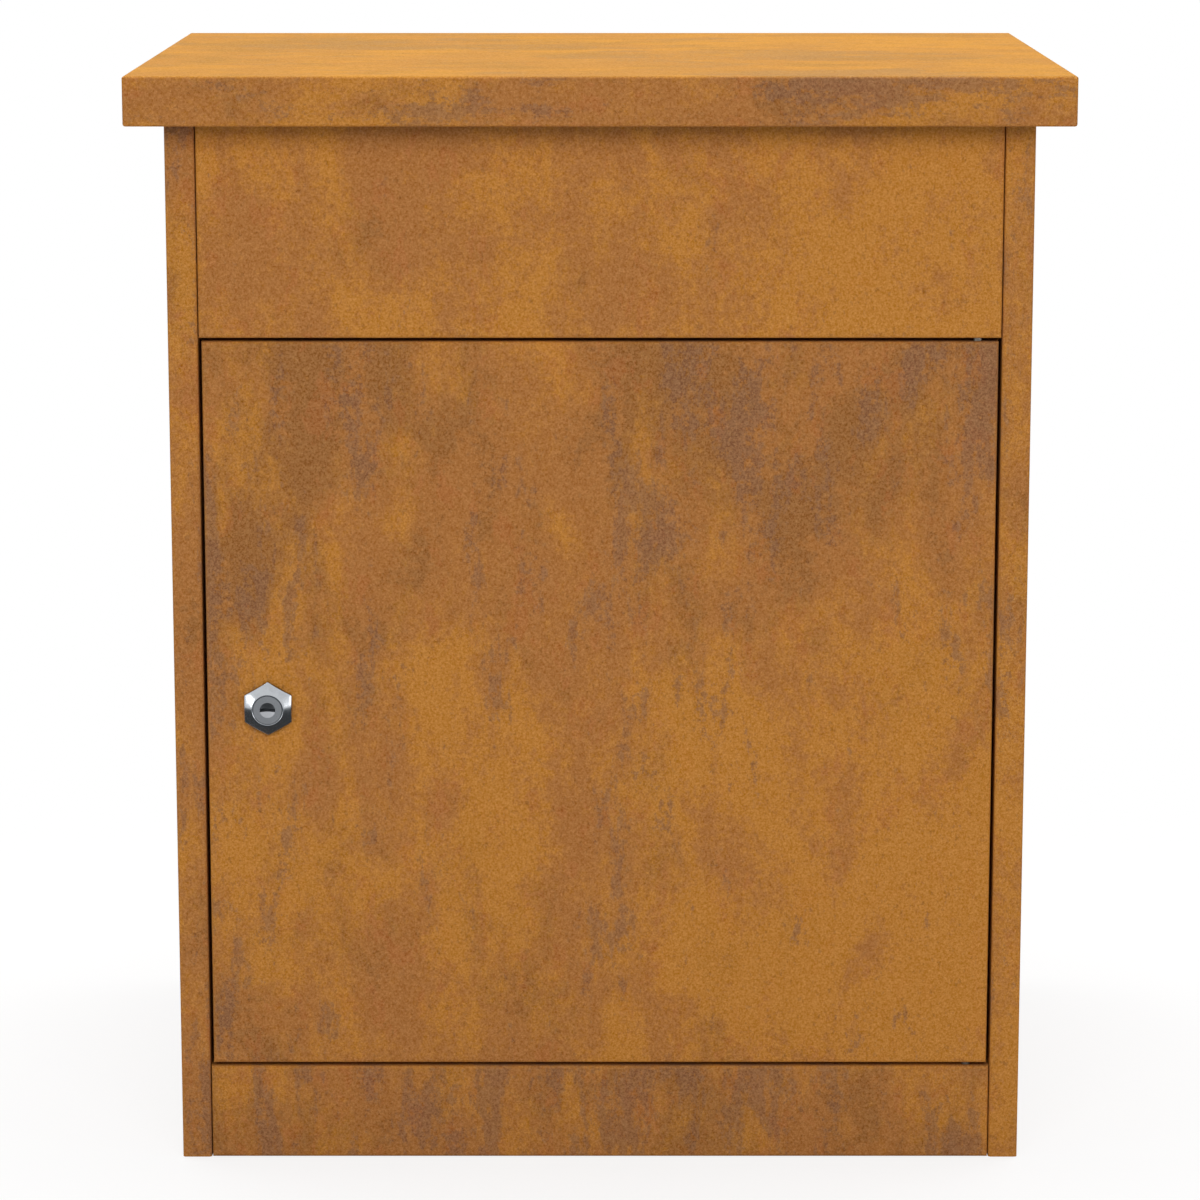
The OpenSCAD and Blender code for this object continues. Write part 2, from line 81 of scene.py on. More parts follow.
# Each folded sheet: how far its patina is shifted, and how light, dark and grey it leans
SHEETS = {
    "lid": ((3.1, 1.7, 0.4), (0.2, -0.1, -0.5)),
    "door": ((0.0, 0.0, 0.0), (0.1, -0.1, -0.4)),
    "upper_front_panel": ((6.1, 0.8, 2.9), (0.5, -1.1, -1.2)),
    "lower_front_panel": ((7.9, 2.6, 1.1), (0.2, 0.2, -0.2)),
    "left_side_panel": ((11.2, 4.4, 0.9), (-0.3, 0.2, -0.3)),
    "right_side_panel": ((13.7, 5.1, 3.3), (0.5, -0.2, -0.5)),
    "back_panel": ((17.4, 6.2, 0.6), (0.1, 0.0, -0.3)),
    "floor_panel": ((19.8, 7.7, 1.9), (-0.4, 0.3, -0.2)),
    "retrieval_guard": ((23.5, 8.3, 2.8), (-0.3, 0.0, -0.3)),
}
# Broad stains on a sheet: middle and reach in millimetres in the frame, and how light, dark and
# grey they lean. A noise (cells a metre, detail and roughness) moves their edges, and their masks
# run from nothing to full between two shares of the reach.
STAINS = {
    "lid": (
        ((-90, -170, 518), (110, 60, 60), (1.1, -0.3, 0.6)),
        ((140, -170, 518), (120, 60, 60), (0.3, 1.0, 2.1)),
        ((120, -150, 530), (90, 40, 20), (-0.3, 0.2, 1.4)),
        ((-210, 0, 530), (90, 200, 20), (-0.6, 0.4, 0.0)),
        ((-80, 70, 530), (150, 60, 20), (-1.2, 1.2, 1.5)),
        ((60, -20, 530), (150, 40, 20), (-1.1, 1.0, 1.7)),
    ),
    "door": (
        ((0, -153, 400), (320, 60, 150), (-0.7, 1.1, 0.2)),
        ((65, -153, 335), (95, 60, 110), (-0.5, 0.7, 1.1)),
        ((-195, -153, 220), (80, 60, 290), (0.1, 0.6, 0.8)),
        ((185, -153, 340), (45, 60, 130), (0.0, 0.0, 1.3)),
        ((140, -153, 130), (140, 60, 170), (1.4, -0.6, -0.8)),
        ((-70, -153, 190), (60, 60, 140), (0.8, -0.3, -0.4)),
        ((55, -153, 60), (80, 60, 70), (0.8, -0.4, -0.4)),
    ),
    "upper_front_panel": (
        ((120, -153, 465), (70, 60, 90), (0.8, -0.4, 0.0)),
        ((-165, -153, 490), (60, 60, 60), (0.7, -0.4, 0.0)),
    ),
    "lower_front_panel": (
        ((0, -153, 22), (110, 60, 80), (-0.3, 0.1, 1.2)),
    ),
    "left_side_panel": (
        ((-205, 40, 90), (40, 190, 170), (-0.8, 0.8, 1.2)),
        ((-205, -60, 400), (40, 130, 160), (0.9, -0.3, -0.4)),
    ),
    "right_side_panel": (
        ((205, 60, 120), (40, 160, 190), (-0.7, 0.6, 1.1)),
        ((205, -40, 430), (40, 150, 120), (-0.5, 0.3, 1.0)),
        ((205, 110, 330), (40, 110, 130), (0.9, -0.3, -0.4)),
    ),
    "back_panel": (
        ((-70, 169, 150), (150, 60, 190), (-0.7, 0.7, 1.3)),
        ((110, 169, 380), (130, 60, 170), (0.9, -0.3, -0.4)),
    ),
}
STAIN_NOISE = (14.0, 4.0, 0.6)
STAIN_WANDER = 1.6
STAIN_EDGE = (1.15, 0.25)

# Spread of one octave of the noise texture round its middle
NOISE_SPREAD = 0.13
# How much of a sheet's run its blotches follow, and how far away the second set of noises is
RUN_SHARE = 0.6
ELSEWHERE = (4.7, 2.9, 8.1)
# Noises of the patina: where each is read, cells a metre, detail, roughness and distortion
NOISES = {
    "broad": ("upright", 8.0, 2.0, 0.5, 0.0),
    "broad_dark": ("elsewhere", 10.0, 2.0, 0.5, 0.0),
    "blotch": ("upright", 30.0, 6.0, 0.66, 0.3),
    "patch": ("elsewhere", 26.0, 6.0, 0.64, 0.3),
    "warm": ("elsewhere", 70.0, 5.0, 0.7, 0.3),
    "streak": ("streaked", 62.0, 6.0, 0.68, 0.15),
    "fleck": ("place", 260.0, 3.0, 0.8, 0.0),
    "speck": ("elsewhere", 420.0, 3.0, 0.7, 0.0),
    "grain": ("place", 950.0, 1.0, 0.9, 0.0),
}
# What each layer of the patina is made of: noises and their weights
LAYERS = {
    "light": {"blotch": 0.8, "broad": 0.3, "fleck": 0.45},
    "dark": {"patch": 0.8, "broad_dark": 0.3, "fleck": 0.4},
    "grey": {"streak": 0.85, "broad_dark": 0.25, "fleck": 0.42},
    "warm": {"warm": 1.0},
    "speck": {"speck": 1.0},
}
# Coats of colour from the bottom up: layer, where it starts and is full, strength, and tone.
# A gentle coat tints the sheet, and a steep one gives ragged edges where one layer ends.
COATS = (
    ("dark", -0.3, 2.3, 0.42, "Dark"),
    ("dark", 0.7, 1.05, 0.27, "Dark"),
    ("warm", 1.0, 1.7, 0.35, "Warm"),
    ("light", -1.3, 2.2, 0.33, "Light"),
    ("light", 0.1, 0.45, 0.15, "Light"),
    ("light", 1.0, 1.35, 0.4, "Light"),
    ("grey", 0.0, 2.4, 0.33, "Grey"),
    ("grey", 1.0, 1.45, 0.38, "Grey"),
    ("speck", 1.5, 2.4, 0.4, "Dark"),
)
GRAIN_TINT = (0.034, 0.0212, 0.0104)
# The lid's top face is tinted lighter and yellower from one depth under it to another
TOP_TONE_SHARE = 0.3
TOP_TONE_START = 0.8 * MM
TOP_TONE_FULL = 0.1 * MM
# A sheet's edges rub light over this width, where the flecks lie between two values, from one
# share to another
RIM_WIDTH = 2 * MM
RIM_WEAR = (-1.0, 2.0, 0.1, 0.5)
PATINA_SPECULAR = 0.12
PATINA_ROUGHNESS = 0.88
FLECK_GLOSS = -0.03
STREAK_GLOSS = -0.06
STREAK_RANGE = (0.0, 2.4)
GRAIN_RELIEF = 0.08
FLECK_RELIEF = 0.1
PATINA_BUMP = 0.6


# --- Metal and rubber ----------------------------------------------------------------------

# Wear of each finish: stain, its share, roughness, how much that varies, and relief in metres
FINISHES = {
    "zinc": ((0.38, 0.36, 0.31, 1), 0.45, 0.42, 0.25, 0.00002),
    "steel": ((0.2, 0.17, 0.14, 1), 0.5, 0.42, 0.2, 0.00001),
    "chrome": ((0.36, 0.37, 0.4, 1), 0.35, 0.17, 0.1, 0.000006),
    "satin_plug": ((0.3, 0.31, 0.33, 1), 0.2, 0.3, 0.1, 0.000006),
    "rubber": ((0.09, 0.075, 0.06, 1), 0.35, 0.62, 0.3, 0.00003),
}
WEAR_BUMP = 0.5
# Noises of the wear: cells a metre, detail and roughness. The stain shows where the cloud lies
# between two values.
CLOUD = (160.0, 5.0, 0.6)
SCRATCHES = (1500.0, 3.0, 0.6)
STAINED = (0.42, 0.68)
# Painted shade on the side faces of the lock's head, in the corner against the door: tone, share,
# height, fade, how far behind the door's face it stops, and how far a face may turn to the front
# to keep it
PAINTED_SHADE_TONE = (0.025, 0.014, 0.008, 1)
PAINTED_SHADE_SHARE = 0.93
PAINTED_SHADE_HEIGHT = 2.6 * MM
PAINTED_SHADE_FADE = 0.4 * MM
PAINTED_SHADE_STOP = 0.1 * MM
PAINTED_SHADE_FACING = (0.5, 0.25)
ZINC_NODES = (
    "back_rivets",
    "front_rivets",
    "hinge_rivets",
    "left_hinge_fixed_leaf",
    "right_hinge_fixed_leaf",
    "left_hinge_lid_leaf",
    "right_hinge_lid_leaf",
    "guard_nuts",
    "lock_washer",
    "lock_nut",
    "cam",
    "cam_washer",
    "cam_screw",
)
PIN_NODES = ("left_hinge_pin", "right_hinge_pin", "upper_door_pin", "lower_door_pin")
BUMPER_NODES = (
    "left_lid_bumper",
    "right_lid_bumper",
    "upper_door_bumper",
    "lower_door_bumper",
)


# --- Lock and threads ----------------------------------------------------------------------

# Steps of a turned form near each corner of the hexagon, in degrees
CORNER_STEPS = (-1.4, -0.9, -0.45, 0.45, 0.9, 1.4)
# Rounding of the hexagon's back edge and of its edge with the cone: how far inwards, and how far
# up from the back or down from the cone, in shares of the rounding
BACK_EDGE = ((1.0, 0.0), (0.3, 0.3), (0.0, 1.0), (0.0, 1.4))
FRONT_EDGE = ((0.0, 1.1), (0.0, 0.7), (0.25, 0.1))
# Rings of the cone between the hexagon and the nose
CONE_SHARES = (0.25, 0.5, 0.75)
# The nose's turned lip: how far outside the nose's radius and how far under its top, in mm
LIP = ((0.02, 0.03), (-0.1, 0.0), (-0.2, 0.0), (-0.3, 0.06))
LIP_FOOT = 0.12 * MM
# How far the cone's edge lies under the cone, the largest angle in degrees between smooth faces
# of the head, and how near points have to be to become one
CONE_DIP = 0.02 * MM
HEAD_SHARP = 28
WELD = 0.001 * MM
# Threads: steps a turn, the tooth's gain and offset in shares of its depth, and where the
# thread of the barrel and of the studs ends and fades out
STEPS_PER_TURN = 8
TOOTH_GAIN = 1.15
TOOTH_OFFSET = 0.05
HEAD_GAP = 0.3 * MM
BARREL_RUNOUT = 0.8 * MM
STUD_CHAMFER = 0.4 * MM
STUD_GAP = 0.2 * MM
STUD_RUNOUT = 0.5 * MM
STUD_SIDES = 48
STUDS = 4


# --- Studio --------------------------------------------------------------------------------

# Soft boxes: place, what each faces, width and height in metres, the setting that holds its
# watts, and whether polished metal shows it
SOFT_BOXES = {
    "top_light": ((0, 0.35, 2.3), (0, 0.1, 0.5), (2.4, 1.1), "top_light", True),
    "front_light": ((0, -2.4, 1.7), CAD_MIDDLE, (2.4, 1.4), "front_light", False),
    "left_strip": ((-1.9, -1.0, 0.62), (0, -0.15, 0.3), (0.3, 0.9), "side_light", True),
    "right_strip": ((1.9, -1.0, 0.62), (0, -0.15, 0.3), (0.3, 0.9), "side_light", True),
}
# Width of the camera's sensor, in millimetres
SENSOR = 36.0
WHITE = (1, 1, 1, 1)
FLOOR_GREY = (0.6, 0.6, 0.6, 1)
FLOOR_ROUGHNESS = 0.9
FLOOR_SPECULAR = 0.1
# The floor lies just under the mailbox. It fades to white between two distances, from one
# share to another.
FLOOR_LEVEL = -0.3 * MM
FLOOR_FADE = (0.3, 0.75, 0.8, 1.0)
# Painted reflection: a glowing sheet that only polished metal shows, dim and blue-grey. Half its
# width, its far end, its gap to the door and its level, its tint, and its glow from one place
# along Y to another
CARD_HALF = 1.6
CARD_END = -2.6
CARD_GAP = 2 * MM
CARD_LEVEL = 4 * MM
PAINTED_REFLECTION_TINT = (0.93, 0.97, 1.0, 1)
PAINTED_REFLECTION_GLOW = (-1.3, -0.3, 0.5, 0.07)


# --- Settings ------------------------------------------------------------------------------


def colour(name, description, value):
    """A colour that the user can change."""
    return FloatVectorProperty(
        name=name,
        description=description,
        subtype="COLOR",
        size=4,
        min=0.0,
        max=1.0,
        default=(*value, 1.0),
    )


def length(name, description, value):
    """A length that the user can change, in metres."""
    return FloatProperty(
        name=name, description=description, default=value, min=0.0, unit="LENGTH", precision=5
    )


def power(name, description, value):
    """The power of a light that the user can change, in watts."""
    return FloatProperty(
        name=name, description=description, default=value, min=0.0, unit="POWER"
    )


class RustSettings(bpy.types.PropertyGroup):
    """Tones of the patina"""

    base: colour("Base", "Main orange-brown of the patina", (0.41, 0.168, 0.0465))
    light: colour("Light", "Yellow-orange blotches", (0.56, 0.236, 0.036))
    dark: colour("Dark", "Brown patches and specks", (0.265, 0.118, 0.0375))
    grey: colour("Grey", "Purple-brown vertical streaks", (0.25, 0.124, 0.068))
    warm: colour("Warm", "Reddish orange", (0.44, 0.148, 0.045))
    # Lighter, yellower tone given to the lid's top face
    top_tone: colour("Sunned", "Faces that lie open to the sky", (0.59, 0.33, 0.04))
    bump: length("Bump", "Height of the scale's relief", 0.00012)


class MetalSettings(bpy.types.PropertyGroup):
    """Colours of the bare and plated metal, and of the rubber"""

    chrome: colour("Chrome", "Plated lock head", (0.5, 0.52, 0.545))
    plug: colour("Plug", "Satin face of the lock's plug", (0.42, 0.43, 0.45))
    zinc: colour("Zinc", "Zinc plate on hinges, nuts and the cam", (0.56, 0.56, 0.53))
    steel: colour("Steel", "Bare steel of the pins", (0.27, 0.255, 0.225))
    rubber: colour("Rubber", "Bumpers", (0.018, 0.018, 0.019))


class LockSettings(bpy.types.PropertyGroup):
    """Sizes of the details on the lock's head, and of the threads on its barrel and the studs"""

    nose_radius: length("Nose radius", "Outer radius of the round nose", 0.0076)
    lip_inner: length("Lip radius", "Inner radius of the nose's lip", 0.0069)
    groove: length("Groove", "Depth of the bevel round the plug", 0.0005)
    cone_slope: FloatProperty(
        name="Cone slope", description="Spread for each length of fall", default=1.466, min=0.1
    )
    edge: length("Edge", "Rounding of the head's edges", 0.00025)
    corner_rounding: length("Corners", "Rounding of the hexagon's corners", 0.00045)
    mouth: length("Mouth", "Depth of the mouth round the plug's face", 0.0016)
    bore: length("Bore", "Radius of the bore for the plug", 0.00555)
    barrel: length("Barrel", "Radius of the barrel", 0.008)
    thread_pitch: length("Thread pitch", "Pitch of the barrel's thread", 0.001)
    thread_depth: length("Thread depth", "Depth of the barrel's thread", 0.00045)
    stud_pitch: length("Stud pitch", "Pitch of the studs' thread", 0.0008)
    stud_depth: length("Stud depth", "Depth of the studs' thread", 0.0004)
    sides: IntProperty(
        name="Sides", description="Steps round each turned form", default=192, min=24, max=384
    )


class StageSettings(bpy.types.PropertyGroup):
    """Studio round the mailbox"""

    floor_size: length("Floor size", "Width of the floor", 30.0)
    ambient: FloatProperty(
        name="Ambient",
        description="Share of white light from all round",
        default=0.3,
        min=0.0,
        max=1.0,
        subtype="FACTOR",
    )
    top_light: power("Top light", "Power of the soft box overhead", 43.0)
    front_light: power("Front light", "Power of the soft box in front", 35.5)
    side_light: power("Side lights", "Power of each strip at the sides", 3.0)
    camera_gap: length("Camera gap", "Distance from the lid's front to the camera", 2.0)
    camera_height: length("Camera height", "Height of the camera over the floor", 0.668)
    camera_tilt: FloatProperty(
        name="Camera tilt",
        description="How far the camera looks down",
        default=math.radians(10.92),
        subtype="ANGLE",
    )
    lens: FloatProperty(
        name="Lens", description="Focal length", default=128.5, min=1.0, unit="CAMERA"
    )


# --- Shader nodes --------------------------------------------------------------------------


def fill(tree, socket, value):
    """Links value to a socket if it is an output, and sets it otherwise."""
    if isinstance(value, bpy.types.NodeSocket):
        tree.links.new(value, socket)
    else:
        socket.default_value = value


def add_node(tree, kind, inputs, **settings):
    """Adds a node, gives it its settings, and fills its inputs by name or number."""
    made = tree.nodes.new(kind)
    for name, value in settings.items():
        setattr(made, name, value)
    for name, value in inputs.items():
        fill(tree, made.inputs[name], value)
    return made


def maths(tree, operation, *values):
    """One Math node's output."""
    return add_node(
        tree, "ShaderNodeMath", dict(enumerate(values)), operation=operation
    ).outputs[0]


def vector_maths(tree, operation, *values):
    """One Vector Math node's vector output."""
    return add_node(
        tree, "ShaderNodeVectorMath", dict(enumerate(values)), operation=operation
    ).outputs[0]


def noise(tree, position, scale, detail, roughness, distortion=0.0):
    """Fractal noise from 0 to 1, with cells of about 1 / scale metres."""
    return add_node(
        tree,
        "ShaderNodeTexNoise",
        {
            "Vector": position,
            "Scale": scale,
            "Detail": detail,
            "Roughness": roughness,
            "Distortion": distortion,
        },
    ).outputs[0]


def spread_noise(tree, position, scale, detail, roughness, distortion):
    """Fractal noise around 0, with a spread of about 1 whatever its detail."""
    raw = noise(tree, position, scale, detail, roughness, distortion)
    octaves = [roughness**k for k in range(int(detail) + 1)]
    gain = sum(octaves) / (NOISE_SPREAD * math.hypot(*octaves))
    return maths(tree, "MULTIPLY_ADD", raw, gain, -0.5 * gain)


def scaled(tree, value, factor):
    """Value times factor."""
    return maths(tree, "MULTIPLY", value, factor)


def spread_to_vector(tree, value):
    """A vector with the value in each of its three parts."""
    return add_node(tree, "ShaderNodeCombineXYZ", {0: value, 1: value, 2: value}).outputs[0]


def weigh(tree, start, *parts):
    """Start plus each part times its weight. Parts are (value, weight)."""
    total = start
    for value, weight in parts:
        total = maths(tree, "MULTIPLY_ADD", value, weight, total)
    return total


def ramp(tree, value, low, high, start=0.0, end=1.0):
    """Value turned smoothly from start at low to end at high."""
    return add_node(
        tree,
        "ShaderNodeMapRange",
        {"Value": value, "From Min": low, "From Max": high, "To Min": start, "To Max": end},
        interpolation_type="SMOOTHSTEP",
    ).outputs[0]


def blend_colours(tree, share, first, second):
    """A mix of two colours."""
    made = tree.nodes.new("ShaderNodeMix")
    made.data_type = "RGBA"
    fill(tree, made.inputs[0], share)
    fill(tree, made.inputs[6], first)
    fill(tree, made.inputs[7], second)
    return made.outputs[2]


def new_group(name, inputs, outputs):
    """A shader node group and its two end nodes. Inputs are (name, kind, default)."""
    tree = bpy.data.node_groups.new(name, "ShaderNodeTree")
    for label, kind, value in inputs:
        socket = tree.interface.new_socket(label, in_out="INPUT", socket_type=kind)
        socket.default_value = value
    for label, kind in outputs:
        tree.interface.new_socket(label, in_out="OUTPUT", socket_type=kind)
    start = tree.nodes.new("NodeGroupInput")
    end = tree.nodes.new("NodeGroupOutput")
    return tree, start.outputs, end.inputs


def rim_group():
    """Mask of the edges of a box-shaped panel: 1 on an edge, 0 a few millimetres away."""
    name = "panel_rim"
    if name in bpy.data.node_groups:
        return bpy.data.node_groups[name]
    tree, given, out = new_group(
        name,
        [
            ("Position", "NodeSocketVector", (0, 0, 0)),
            ("Low", "NodeSocketVector", (0, 0, 0)),
            ("High", "NodeSocketVector", (1, 1, 1)),
            ("Width", "NodeSocketFloat", RIM_WIDTH),
        ],
        [("Rim", "NodeSocketFloat")],
    )
    from_low = vector_maths(tree, "SUBTRACT", given["Position"], given["Low"])
    from_high = vector_maths(tree, "SUBTRACT", given["High"], given["Position"])
    near = vector_maths(tree, "MINIMUM", from_low, from_high)
    parts = add_node(tree, "ShaderNodeSeparateXYZ", {0: near}).outputs
    total = maths(tree, "ADD", maths(tree, "ADD", parts[0], parts[1]), parts[2])
    least = maths(tree, "MINIMUM", maths(tree, "MINIMUM", parts[0], parts[1]), parts[2])
    most = maths(tree, "MAXIMUM", maths(tree, "MAXIMUM", parts[0], parts[1]), parts[2])
    middle = maths(tree, "SUBTRACT", maths(tree, "SUBTRACT", total, least), most)
    tree.links.new(ramp(tree, middle, given["Width"], 0.0), out["Rim"])
    return tree


def stain_group():
    """Soft mask of one broad stain with a wandering edge."""
    name = "soft_stain"
    if name in bpy.data.node_groups:
        return bpy.data.node_groups[name]
    tree, given, out = new_group(
        name,
        [
            ("Position", "NodeSocketVector", (0, 0, 0)),
            ("Middle", "NodeSocketVector", (0, 0, 0)),
            ("Reach", "NodeSocketVector", (1, 1, 1)),
            ("Wander", "NodeSocketFloat", 0.5),
        ],
        [("Mask", "NodeSocketFloat")],
    )
    away = vector_maths(tree, "SUBTRACT", given["Position"], given["Middle"])
    away = vector_maths(tree, "DIVIDE", away, given["Reach"])
    distance = add_node(
        tree, "ShaderNodeVectorMath", {0: away}, operation="LENGTH"
    ).outputs["Value"]
    wander = maths(tree, "SUBTRACT", given["Wander"], 0.5)
    distance = weigh(tree, distance, (wander, STAIN_WANDER))
    tree.links.new(ramp(tree, distance, *STAIN_EDGE), out["Mask"])
    return tree


def patina_group():
    """Rust patina: coats of light blotches, dark patches, grey streaks, flecks and grain."""
    name = "rust_patina"
    if name in bpy.data.node_groups:
        return bpy.data.node_groups[name]
    tree, given, out = new_group(
        name,
        [
            ("Position", "NodeSocketVector", (0, 0, 0)),
            ("Offset", "NodeSocketVector", (0, 0, 0)),
            ("Run", "NodeSocketVector", DOWN),
            ("Base", "NodeSocketColor", (0.4, 0.16, 0.04, 1)),
            ("Light", "NodeSocketColor", (0.57, 0.24, 0.04, 1)),
            ("Dark", "NodeSocketColor", (0.27, 0.11, 0.03, 1)),
            ("Grey", "NodeSocketColor", (0.24, 0.12, 0.07, 1)),
            ("Warm", "NodeSocketColor", (0.45, 0.15, 0.05, 1)),
            ("Sunned", "NodeSocketColor", (0.46, 0.25, 0.05, 1)),
            ("Lean", "NodeSocketVector", (0, 0, 0)),
            ("Rim", "NodeSocketFloat", 0.0),
            ("Sun", "NodeSocketFloat", 0.0),
        ],
        [
            ("Color", "NodeSocketColor"),
            ("Roughness", "NodeSocketFloat"),
            ("Height", "NodeSocketFloat"),
        ],
    )
    place = vector_maths(tree, "ADD", given["Position"], given["Offset"])
    follow = Vector.Fill(3, RUN_SHARE)
    keep = Vector.Fill(3, 1 - RUN_SHARE)
    part_run = vector_maths(tree, "MULTIPLY_ADD", given["Run"], follow, keep)
    upright = vector_maths(tree, "MULTIPLY", place, part_run)
    places = {
        "place": place,
        "upright": upright,
        "streaked": vector_maths(tree, "MULTIPLY", place, given["Run"]),
        "elsewhere": vector_maths(tree, "ADD", upright, ELSEWHERE),
    }
    fields = {
        name: spread_noise(tree, places[where], *shape)
        for name, (where, *shape) in NOISES.items()
    }
    leans = add_node(tree, "ShaderNodeSeparateXYZ", {0: given["Lean"]}).outputs
    own_lean = {"light": leans[0], "dark": leans[1], "grey": leans[2]}
    layers = {
        name: weigh(tree, own_lean.get(name, 0.0), *((fields[f], w) for f, w in parts.items()))
        for name, parts in LAYERS.items()
    }
    tone = given["Base"]
    for layer, start, full, strength, name in COATS:
        mask = ramp(tree, layers[layer], start, full, 0.0, strength)
        tone = blend_colours(tree, mask, tone, given[name])
    # The lid's top face is made lighter and yellower
    tone = blend_colours(tree, scaled(tree, given["Sun"], TOP_TONE_SHARE), tone, given["Sunned"])
    bare = ramp(tree, fields["fleck"], *RIM_WEAR)
    rim_share = maths(tree, "MULTIPLY", given["Rim"], bare)
    tone = blend_colours(tree, rim_share, tone, given["Light"])
    grain = spread_to_vector(tree, fields["grain"])
    tint = vector_maths(tree, "MULTIPLY", GRAIN_TINT, grain)
    tree.links.new(vector_maths(tree, "ADD", tone, tint), out["Color"])

    fleck = fields["fleck"]
    streaks = ramp(tree, layers["grey"], *STREAK_RANGE)
    rough = weigh(tree, PATINA_ROUGHNESS, (fleck, FLECK_GLOSS), (streaks, STREAK_GLOSS))
    tree.links.new(rough, out["Roughness"])
    height = weigh(tree, 0.5, (fields["grain"], GRAIN_RELIEF), (fleck, FLECK_RELIEF))
    tree.links.new(height, out["Height"])
    return tree


def wear_group():
    """Fine scratches and dull spots of metal and rubber: a colour, a roughness and a height."""
    name = "metal_wear"
    if name in bpy.data.node_groups:
        return bpy.data.node_groups[name]
    tree, given, out = new_group(
        name,
        [
            ("Position", "NodeSocketVector", (0, 0, 0)),
            ("Metal", "NodeSocketColor", (0.5, 0.5, 0.5, 1)),
            ("Stain", "NodeSocketColor", (0.3, 0.28, 0.25, 1)),
            ("Stain Share", "NodeSocketFloat", 0.3),
            ("Roughness", "NodeSocketFloat", 0.3),
            ("Spread", "NodeSocketFloat", 0.1),
        ],
        [
            ("Color", "NodeSocketColor"),
            ("Roughness", "NodeSocketFloat"),
            ("Height", "NodeSocketFloat"),
        ],
    )
    cloud = noise(tree, given["Position"], *CLOUD)
    fine = noise(tree, given["Position"], *SCRATCHES)
    stain = maths(tree, "MULTIPLY", ramp(tree, cloud, *STAINED), given["Stain Share"])
    tree.links.new(blend_colours(tree, stain, given["Metal"], given["Stain"]), out["Color"])
    shift = maths(tree, "SUBTRACT", maths(tree, "ADD", cloud, fine), 1.0)
    rough = maths(tree, "MULTIPLY_ADD", shift, given["Spread"], given["Roughness"])
    tree.links.new(rough, out["Roughness"])
    tree.links.new(fine, out["Height"])
    return tree


def new_material(name):
    """An empty material with a Principled BSDF: its tree, and the shader."""
    made = bpy.data.materials.new(name)
    made.use_nodes = True
    tree = made.node_tree
    tree.nodes.clear()
    shader = tree.nodes.new("ShaderNodeBsdfPrincipled")
    end = tree.nodes.new("ShaderNodeOutputMaterial")
    tree.links.new(shader.outputs[0], end.inputs["Surface"])
    return made, tree, shader


def place_group(tree, group, inputs):
    """Places a node group, and returns its outputs."""
    made = tree.nodes.new("ShaderNodeGroup")
    made.node_tree = group
    for name, value in inputs.items():
        fill(tree, made.inputs[name], value)
    return made.outputs


def add_bump(tree, shader, height, distance, strength):
    """Height as relief on a shader's normal."""
    relief = add_node(
        tree, "ShaderNodeBump", {"Height": height, "Distance": distance, "Strength": strength}
    )
    tree.links.new(relief.outputs[0], shader.inputs["Normal"])


def add_stains(tree, place, node_name, lean):
    """A sheet's own lean plus that of its broad stains."""
    total = lean
    wander = noise(tree, place, *STAIN_NOISE)
    for middle, reach, stain_lean in STAINS.get(node_name, ()):
        mask = place_group(
            tree,
            stain_group(),
            {
                "Position": place,
                "Middle": Vector(middle) * MM,
                "Reach": Vector(reach) * MM,
                "Wander": wander,
            },
        )["Mask"]
        part = vector_maths(tree, "MULTIPLY", spread_to_vector(tree, mask), stain_lean)
        total = vector_maths(tree, "ADD", total, part)
    return total


def rust_material(node_name, offset, lean):
    """The patina on one folded sheet."""
    tones = bpy.context.scene.mailbox_rust
    low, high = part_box(node_name)
    made, tree, shader = new_material("rust_" + node_name)
    place = tree.nodes.new("ShaderNodeTexCoord").outputs["Object"]
    rim = place_group(tree, rim_group(), {"Position": place, "Low": low, "High": high})
    height = add_node(tree, "ShaderNodeSeparateXYZ", {0: place}).outputs["Z"]
    top = CAD_BOX[1].z
    patina = place_group(
        tree,
        patina_group(),
        {
            "Position": place,
            "Offset": offset,
            "Run": ACROSS if node_name == "lid" else DOWN,
            "Base": tones.base,
            "Light": tones.light,
            "Dark": tones.dark,
            "Grey": tones.grey,
            "Warm": tones.warm,
            "Sunned": tones.top_tone,
            "Lean": add_stains(tree, place, node_name, lean),
            "Rim": rim["Rim"],
            "Sun": ramp(tree, height, top - TOP_TONE_START, top - TOP_TONE_FULL),
        },
    )
    tree.links.new(patina["Color"], shader.inputs["Base Color"])
    tree.links.new(patina["Roughness"], shader.inputs["Roughness"])
    shader.inputs["Specular IOR Level"].default_value = PATINA_SPECULAR
    add_bump(tree, shader, patina["Height"], tones.bump, PATINA_BUMP)
    return made


def worn_material(name, tone, metallic=1.0):
    """A metal or rubber surface with the fine wear of its finish."""
    stain, stain_share, roughness, spread, relief = FINISHES[name]
    made, tree, shader = new_material(name)
    place = tree.nodes.new("ShaderNodeTexCoord").outputs["Object"]
    wear = place_group(
        tree,
        wear_group(),
        {
            "Position": place,
            "Metal": tone,
            "Stain": stain,
            "Stain Share": stain_share,
            "Roughness": roughness,
            "Spread": spread,
        },
    )
    tree.links.new(wear["Color"], shader.inputs["Base Color"])
    tree.links.new(wear["Roughness"], shader.inputs["Roughness"])
    shader.inputs["Metallic"].default_value = metallic
    add_bump(tree, shader, wear["Height"], relief, WEAR_BUMP)
    return made


